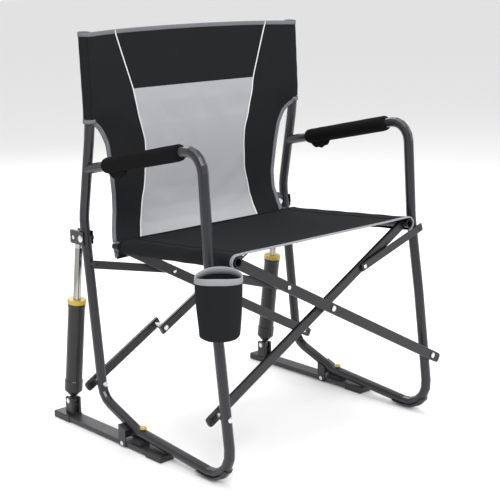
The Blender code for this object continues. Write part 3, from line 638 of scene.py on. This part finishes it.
    def ribbons(self, shape: np.ndarray) -> list[bpy.types.Object]:
        """The ribbon bound over the top, bottom and side edges."""
        made = [self.ribbon("back_top_ribbon", shape[-1] - (0, 0.0004, 0.003), 0.0095),
                self.ribbon("back_low_ribbon", shape[0], 0.0065, LINING)]
        low = shape[:, 0, 2] <= self.sleeve_low
        for side in Side:
            for word, z, tall in (("top", 0.8715, 0.0090), ("low", 0.6895, 0.0085)):
                r = self.sleeve_r
                band = np.array([[r - 0.0012, 0], [r + 0.0009, 0], [r + 0.0011, tall / 2], [r + 0.0009, tall],
                                 [r - 0.0012, tall]])
                spot = np.array([side.value * FRAME_X, upright_y(z + tall / 2), z])
                made.append(lathe(f"{side.label}_sleeve_{word}_band", band, spot, np.array([0, -0.04, 1.0]), RIBBON))
        made.append(self.ribbon("back_left_ribbon", shape[low, 0], 0.0105))
        made.append(self.ribbon("back_right_ribbon", shape[low, -1], 0.0105))
        return made

    @staticmethod
    def ribbon(name: str, path: np.ndarray, width: float, look: Finish = RIBBON) -> bpy.types.Object:
        """A flat ribbon folded over an edge."""
        side = np.gradient(path, axis=0)
        side = np.cross(side, np.tile([0.0, 1.0, 0.0], (len(path), 1)))
        return sweep(name, path, oval(width, 0.0034), look, side)

    def pipes(self, shape: np.ndarray, edge: int) -> list[bpy.types.Object]:
        """White piping along both sides of the window and up to the top edge."""
        made = []
        for side, col in ((Side.LEFT, edge - 1), (Side.RIGHT, shape.shape[1] - edge)):
            path = shape[:, col] + (0.0, -0.0010, 0.0)
            front = np.tile([0.0, -1.0, 0.0], (len(path), 1))
            made.append(sweep(f"back_{side.label}_piping", path, oval(0.0026, 0.0026, 12), PIPING, front))
        return made


@dataclass
class Seat:
    """The slung seat: one cloth that wraps both rails, with ribbon on its front and its loops."""

    front_y: float = -0.257
    rear_y: float = 0.104
    radius: float = 0.0146
    sag: float = 0.012
    seam_in: float = 0.0265

    def rail(self, y: np.ndarray) -> np.ndarray:
        """Height of the rails at y."""
        return 0.4477 - (y + 0.25) * 0.0752

    def build(self) -> list[bpy.types.Object]:
        """Make the seat's pieces."""
        y = np.linspace(self.front_y, self.rear_y, 70)
        turn = np.radians(np.linspace(262, 90, 22))
        x_wrap = -RAIL_X + self.radius * np.cos(turn)
        z_wrap = self.radius * np.sin(turn)
        u = np.linspace(-1, 1, 76)[1:-1]
        x = np.concatenate([x_wrap, u * RAIL_X, -x_wrap[::-1]])
        base = np.concatenate([z_wrap, np.full(len(u), self.radius), z_wrap[::-1]])
        points = np.empty((len(y), len(x), 3))
        points[..., 0] = x
        points[..., 1] = y[:, None]
        points[..., 2] = self.rail(y)[:, None] + base
        middle = np.clip(1 - np.abs(x) / RAIL_X, 0, 1)
        deep = np.sin(np.pi * np.linspace(0, 1, len(y))) ** 0.5
        points[..., 2] -= self.sag * deep[:, None] * middle * (2 - middle)
        wave = 0.0006 * np.sin(y[:, None] * 90 + 3 * np.sin(x * 14))
        fold = wave * np.exp(-((RAIL_X - 0.03 - np.abs(x)) / 0.05) ** 2)
        points[..., 2] += fold
        cloth = surface("seat_cloth", points, CLOTH)
        held = np.zeros(points.shape[:2])
        held[:, :23] = 1.0
        held[:, -23:] = 1.0
        held[:2] = 1.0
        held[-2:] = 1.0
        settle(cloth, held.ravel(), frames=14, gravity=0.12)
        co = np.empty(len(cloth.data.vertices) * 3, np.float32)
        cloth.data.vertices.foreach_get("co", co)
        shape = co.reshape(*points.shape) - MOVE
        thicken(cloth, 0.0014)
        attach(cloth, "left_rail")
        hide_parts("seat_sling")
        trim = self.trim(shape)
        for piece in trim:
            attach(piece, "left_rail")
        for piece in [cloth, *trim]:
            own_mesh(piece)
        area = Backrest.area(shape)
        LOG.info("seat: %d pieces, %.3f square metres", 1 + len(trim), area)
        return [cloth, *trim]

    def trim(self, shape: np.ndarray) -> list[bpy.types.Object]:
        """Light ribbon on the front edge and the loops' ends, dark ribbon on the rear edge."""
        made = []
        for name, row, look, width in (("seat_front_ribbon", 0, EDGE, 0.0085),
                                       ("seat_rear_ribbon", -1, LINING, 0.0075)):
            path = shape[row].copy()
            side = np.tile([0.0, 1.0, 0.0], (len(path), 1))
            made.append(sweep(name, path, oval(width, 0.0034), look, side))
        for side in Side:
            col = int(np.argmin(np.abs(shape[0, :, 0] - side.value * (RAIL_X - self.seam_in))))
            path = shape[:, col] + (0, 0, 0.0011)
            across = np.tile([1.0, 0.0, 0.0], (len(path), 1))
            made.append(sweep(f"seat_{side.label}_seam", path, oval(0.0014, 0.0010, 8), LINING, across))
        return made


@dataclass
class ArmPad:
    """A foam pad in a sewn sleeve round the straight of an arm."""

    side: Side
    start: tuple[float, float] = (-0.152, 0.6588)
    end: tuple[float, float] = (0.098, 0.6047)
    radius: float = 0.0170

    def build(self) -> bpy.types.Object:
        """Make the pad, a little uneven as sewn foam is."""
        share = np.linspace(0, 1, 90)
        turn = np.linspace(0, 2 * np.pi, 56, endpoint=False)
        low = np.array([self.side.value * FRAME_X, *self.start])
        high = np.array([self.side.value * FRAME_X, *self.end])
        path = low + (high - low) * share[:, None]
        axis = (high - low) / np.linalg.norm(high - low)
        across = np.array([1.0, 0, 0])
        up = np.cross(across, axis)
        cap = np.clip(np.minimum(share, 1 - share) / 0.028, 0, 1)
        rim = 0.0114 + (self.radius - 0.0114) * np.sqrt(1 - (1 - cap) ** 2)
        bumps = 1 + 0.014 * np.sin(share[:, None] * 21 + 2 * np.cos(turn)) * np.cos(turn * 2 + 1)
        bumps = bumps + 0.012 * np.sin(share[:, None] * 57 + turn * 3) * np.exp(-((share[:, None] - 0.9) / 0.1) ** 2)
        radius = rim[:, None] * (1 + (bumps - 1) * cap[:, None])
        points = (path[:, None] + (radius * np.cos(turn))[..., None] * across
                  + (radius * np.sin(turn))[..., None] * up)
        pad = surface(f"{self.side.label}_pad_sleeve", points, FOAM, wrap=True)
        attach(pad, f"{self.side.label}_frame")
        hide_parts(f"{self.side.label}_arm_pad")
        seam = path[4:-4] - up * (self.radius * 0.995)
        strip = sweep(f"{self.side.label}_pad_seam", seam, oval(0.0050, 0.0014, 10), CLOTH,
                      np.tile(across, (len(seam), 1)))
        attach(strip, f"{self.side.label}_frame")
        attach(self.flap(path, up), f"{self.side.label}_frame")
        LOG.info("%s arm pad", self.side.label)
        return pad


    def flap(self, path: np.ndarray, up: np.ndarray) -> bpy.types.Object:
        """The loose edge of the sleeve that hangs under the pad's rear end."""
        line = path[66:-3]
        share = np.linspace(0, 1, len(line))
        drop = 0.006 + 0.009 * np.sin(np.pi * share) ** 0.7 + 0.0012 * np.sin(share * 17)
        root = line - up * (self.radius * 0.93)
        rows = [root + (dx, 0, 0) - up * (drop * deep)[:, None]
                for dx, deep in ((-0.0040, 0.0), (-0.0022, 0.7), (0.0, 1.0), (0.0022, 0.7), (0.0040, 0.0))]
        return surface(f"{self.side.label}_pad_flap", np.stack(rows), FOAM)


@dataclass
class Cup:
    """The sewn cup on the left front leg, with its rim band and straps."""

    x: float = -0.3335
    y: float = -0.2940
    low_z: float = 0.322
    top_z: float = 0.447
    low_r: float = 0.0420
    top_r: float = 0.0522

    def build(self) -> list[bpy.types.Object]:
        """Make the cup's wall, its band and the strap that ties it to the leg."""
        wall = np.array([[0.0004, self.low_z + 0.001], [self.low_r - 0.006, self.low_z],
                         [self.low_r, self.low_z + 0.004],
                         *[[self.low_r + (self.top_r - self.low_r) * t, self.low_z + 0.004 + 0.120 * t]
                           for t in (0.15, 0.3, 0.45, 0.6, 0.75, 0.9)],
                         [self.top_r, self.top_z - 0.001], [self.top_r - 0.0011, self.top_z],
                         [self.top_r - 0.0022, self.top_z - 0.001],
                         *[[self.low_r - 0.0022 + (self.top_r - self.low_r) * t, self.low_z + 0.006 + 0.118 * t]
                           for t in (0.9, 0.6, 0.3, 0.0)], [0.0004, self.low_z + 0.0045]])
        centre = np.array([self.x, self.y, 0.0])
        cup = lathe("cup_cloth", wall, centre, np.array([0, 0, 1.0]), CLOTH, sides=72)
        self.crease(cup)
        r = self.top_r
        band_low = self.top_z - 0.0115
        slope = (self.top_r - self.low_r) / (self.top_z - self.low_z)
        band = np.array([[r - 0.0115 * slope + 0.0004, band_low], [r - 0.0115 * slope + 0.0012, band_low + 0.0006],
                         [r + 0.0010, self.top_z - 0.001], [r + 0.0004, self.top_z + 0.0014],
                         [r - 0.0018, self.top_z + 0.0014],
                         [r - 0.0034, self.top_z - 0.001], [r - 0.0045, band_low], [r - 0.0026, band_low]])
        rim = lathe("cup_rim", band, centre, np.array([0, 0, 1.0]), RIBBON, sides=72)
        rim.data.materials[0] = PAINTS.material(EDGE)
        self.soften(cup)
        self.soften(rim)
        pieces = [cup, rim, *self.strap()]
        for piece in pieces:
            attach(piece, "left_frame")
        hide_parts("cup_holder")
        LOG.info("cup: %d pieces", len(pieces))
        return pieces

    def soften(self, piece: bpy.types.Object) -> None:
        """Draw a turned piece into the flattened, four-cornered shape a sewn cup takes."""
        co = np.empty(len(piece.data.vertices) * 3, np.float32)
        piece.data.vertices.foreach_get("co", co)
        co = co.reshape(-1, 3)
        centre = np.array([self.x, self.y]) + MOVE[:2]
        flat = co[:, :2] - centre
        turn = np.arctan2(flat[:, 1], flat[:, 0])
        high = np.clip((co[:, 2] - self.low_z) / (self.top_z - self.low_z), 0, 1)
        corner = 0.035 * np.cos(4 * turn) * (1 - 0.4 * high)
        squeeze = 1 - (0.10 * high ** 3) * np.sin(turn - math.radians(45)) ** 2
        co[:, :2] = centre + flat * (0.985 - np.abs(corner) + corner * 0.2)[:, None] * squeeze[:, None]
        co[:, 2] += 0.0035 * high ** 4 * (np.cos(2 * (turn - math.radians(45))) - 1)
        piece.data.vertices.foreach_set("co", co.ravel())
        piece.data.update()

    def crease(self, cup: bpy.types.Object) -> None:
        """Soft uneven folds in the wall, with none at the rim."""
        co = np.empty(len(cup.data.vertices) * 3, np.float32)
        cup.data.vertices.foreach_get("co", co)
        co = co.reshape(-1, 3)
        centre = np.array([self.x, self.y]) + MOVE[:2]
        flat = co[:, :2] - centre
        turn = np.arctan2(flat[:, 1], flat[:, 0])
        fade = np.clip((self.top_z - 0.01 - co[:, 2]) / 0.05, 0, 1) * np.clip((np.hypot(*flat.T) - 0.03) / 0.01, 0, 1)
        push = -0.0009 * (1 + np.sin(turn * 5 + co[:, 2] * 40)) * fade
        co[:, :2] += flat / np.maximum(np.hypot(*flat.T), 1e-6)[:, None] * push[:, None]
        cup.data.vertices.foreach_set("co", co.ravel())
        cup.data.update()

    def strap(self) -> list[bpy.types.Object]:
        """Two loops of webbing round the leg, an upper and a lower one."""
        leg_x = -FRAME_X
        turn = np.linspace(0, 2 * np.pi, 48, endpoint=False)
        made = []
        for z, name in ((0.4145, "upper"), (0.345, "lower")):
            y = np.interp(z, [0.285, 0.45], [-0.2525, -0.2270])
            path = np.stack([leg_x + 0.0124 * np.cos(turn), y + 0.0124 * np.sin(turn), np.full(48, z)], axis=1)
            high = path + (0, 0, 0.009)
            low = path - (0, 0, 0.009)
            grow = 1.09
            outer = (path - (leg_x, y, z)) * grow + (leg_x, y, z)
            rings = np.stack([low, outer - (0, 0, 0.009), outer + (0, 0, 0.009), high])
            made.append(surface(f"cup_{name}_strap", rings, CLOTH, wrap=True, ends_meet=True))
        return made


@dataclass
class StrutRod:
    """The bright rod of a strut, from its ring up to the bracket."""

    side: Side
    low: tuple[float, float] = (0.2352, 0.2440)
    high: tuple[float, float] = (0.2112, 0.4210)
    radius: float = 0.0085

    def build(self) -> bpy.types.Object:
        """Make the rod with a small shoulder at its top."""
        start = np.array([self.side.value * FRAME_X, *self.low])
        run = np.array([self.side.value * FRAME_X, *self.high]) - start
        length = float(np.linalg.norm(run))
        r = self.radius
        profile = np.array([[0.0001, 0.0], [r - 0.0005, 0.0], [r, 0.0005], [r, length - 0.0120],
                            [r - 0.0004, length - 0.0115],
                            [r - 0.0004, length - 0.0090], [r, length - 0.0085], [r, length - 0.001],
                            [r - 0.001, length], [0.0001, length]])
        rod = lathe(f"{self.side.label}_rod_sleeve", profile, start, run, CHROME)
        rod.data.set_sharp_from_angle(angle=math.radians(40))
        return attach(rod, f"{self.side.label}_rod")


@dataclass
class SmallParts:
    """Bar end plugs and the rivets that hold the links to the bars."""

    slope: float = 0.55

    def build(self) -> list[bpy.types.Object]:
        """Make the plugs and rivets."""
        angle = math.atan(self.slope)
        low = -(0.300 / math.cos(angle)) - 0.018
        rows = {"front_bar_a": (1, 0.143, -0.2415), "front_bar_b": (-1, 0.143, -0.2917),
                "rear_bar_a": (1, 0.115, 0.1705), "rear_bar_b": (-1, 0.115, 0.1215)}
        made = []
        for name, (sign, pivot, y) in rows.items():
            made.append(self.plug(name, sign, pivot, y, low, angle))
        spots = (("front_bar_b", -1, 0.120, 0.143, -0.2649), ("front_bar_a", 1, 0.120, 0.143, -0.2528),
                 ("rear_bar_b", -1, 0.109, 0.115, 0.1163), ("rear_bar_a", 1, 0.109, 0.115, 0.1288))
        for body, sign, x, pivot, y in spots:
            z = pivot + (0.300 + x) * self.slope
            made.append(self.dome(f"{body}_link_rivet", body, np.array([sign * x, y, z])))
        LOG.info("small parts: %d", len(made))
        return made

    @staticmethod
    def plug(body: str, sign: int, pivot: float, y: float, low: float, angle: float) -> bpy.types.Object:
        """The rounded plastic plug in a bar's lower end."""
        along = np.array([sign * math.cos(angle), 0.0, math.sin(angle)])
        end = np.array([0.0, y, pivot + 0.165]) + along * low
        share = np.array([0.0, 0.0, 0.35, 0.7, 0.9, 1.0, 1.0])
        width = np.array([0.02, 1.0, 1.0, 0.93, 0.75, 0.45, 0.02])
        up = np.array([-sign * math.sin(angle), 0.0, math.cos(angle)])
        turn = np.linspace(0, 2 * np.pi, 32, endpoint=False)
        box = np.stack([np.cos(turn), np.sin(turn)], axis=1)
        box = np.sign(box) * np.abs(box) ** 0.45
        rings = (end - along * (share * 0.009)[:, None, None]
                 + up * (box[None, :, :1] * 0.0108 * width[:, None, None])
                 + np.array([0, 1.0, 0]) * (box[None, :, 1:] * 0.0049 * np.minimum(1, width * 1.2)[:, None, None]))
        plug = surface(f"{body}_end_plug", rings, PLASTIC, wrap=True)
        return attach(plug, body)

    @staticmethod
    def dome(name: str, body: str, spot: np.ndarray) -> bpy.types.Object:
        """A domed rivet head, facing the front."""
        turn = np.linspace(0, np.pi / 2, 10)
        head = np.stack([np.maximum(0.0046 * np.cos(turn), 0.00005), 0.0003 + 0.0024 * np.sin(turn)], axis=1)
        head = np.concatenate([[[0.0046, 0.0]], head])
        rivet = lathe(name, head, spot, np.array([0, -1.0, 0]), ZINC, sides=32)
        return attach(rivet, body)


@dataclass
class Studio:
    """Floor, lights and camera."""

    distance: float = 2.786
    azimuth: float = -42.06
    elevation: float = 12.42
    roll: float = -0.86
    lens: float = 89.96
    shift: tuple[float, float] = (0.0104, -0.0268)

    def build(self) -> None:
        """Set up the stage."""
        self.floor()
        self.light("key", (-1.9, -2.6, 2.9), 1.2, 80)
        self.light("fill", (2.6, -1.6, 1.8), 2.0, 30)
        self.light("rim", (0.8, 2.8, 2.4), 1.6, 48)
        self.light("top", (0.0, 0.0, 3.4), 2.0, 42)
        world = bpy.data.worlds.new("studio")
        world.use_nodes = True
        world.node_tree.nodes["Background"].inputs[0].default_value = (1.0, 1.0, 1.0, 1.0)
        world.node_tree.nodes["Background"].inputs[1].default_value = 0.85
        bpy.context.scene.world = world
        self.camera()

    def floor(self) -> None:
        """A plain pale floor."""
        side = np.linspace(-30, 30, 3)
        grid = np.stack(np.meshgrid(side, side), axis=-1)
        points = np.concatenate([grid, np.zeros((3, 3, 1))], axis=-1) - MOVE
        paint = Finish("floor_paint", (0.88, 0.88, 0.88), 0.70, 0.0, Texture.MOULDED, 60, 0.00001, 0.01)
        surface("floor", points, paint)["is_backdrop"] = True

    def light(self, name: str, spot: tuple[float, float, float], size: float, watts: float) -> None:
        """An area light that faces the chair."""
        data = bpy.data.lights.new(name, "AREA")
        data.size = size
        data.energy = watts
        lamp = bpy.data.objects.new(name, data)
        lamp.location = spot
        lamp.rotation_euler = (Vector((0, 0, 0.4)) - Vector(spot)).to_track_quat("-Z", "Y").to_euler()
        bpy.context.collection.objects.link(lamp)
        lamp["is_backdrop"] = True

    def camera(self) -> None:
        """The camera, a little above and to the left of the chair's front."""
        turn, lift = math.radians(self.azimuth), math.radians(self.elevation)
        target = Vector((MOVE[0], MOVE[1], 0.42))
        away = Vector((math.sin(turn) * math.cos(lift), -math.cos(turn) * math.cos(lift), math.sin(lift)))
        data = bpy.data.cameras.new("view")
        data.lens = self.lens
        data.shift_x, data.shift_y = self.shift
        data.dof.use_dof = False
        cam = bpy.data.objects.new("view", data)
        look = (-away).to_track_quat("-Z", "Y").to_matrix().to_4x4()
        cam.matrix_world = Matrix.Translation(target + away * self.distance) @ look @ Matrix.Rotation(
            math.radians(self.roll), 4, "Z")
        bpy.context.collection.objects.link(cam)
        bpy.context.scene.camera = cam
        scene = bpy.context.scene
        scene.render.resolution_x = scene.render.resolution_y = 500
        scene.view_settings.view_transform = "Standard"


def plain(value: object) -> object:
    """Numbers and lists that JSON can hold."""
    if isinstance(value, dict):
        return {key: plain(item) for key, item in value.items()}
    if isinstance(value, (int, float, str)) or value is None:
        return value
    return [plain(item) for item in value]


def main() -> None:
    """Build the looks over the shared frame."""
    logging.basicConfig(level=logging.INFO, format="%(name)s: %(message)s")
    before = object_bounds()
    Metalwork().dress()
    Backrest().build()
    Seat().build()
    for side in Side:
        ArmPad(side).build()
        StrutRod(side).build()
    Cup().build()
    SmallParts().build()
    Studio().build()
    json.dumps({"cad": plain(before), "visual": plain(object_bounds())}, indent=1)


if __name__ == "__main__":
    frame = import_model()
    main()
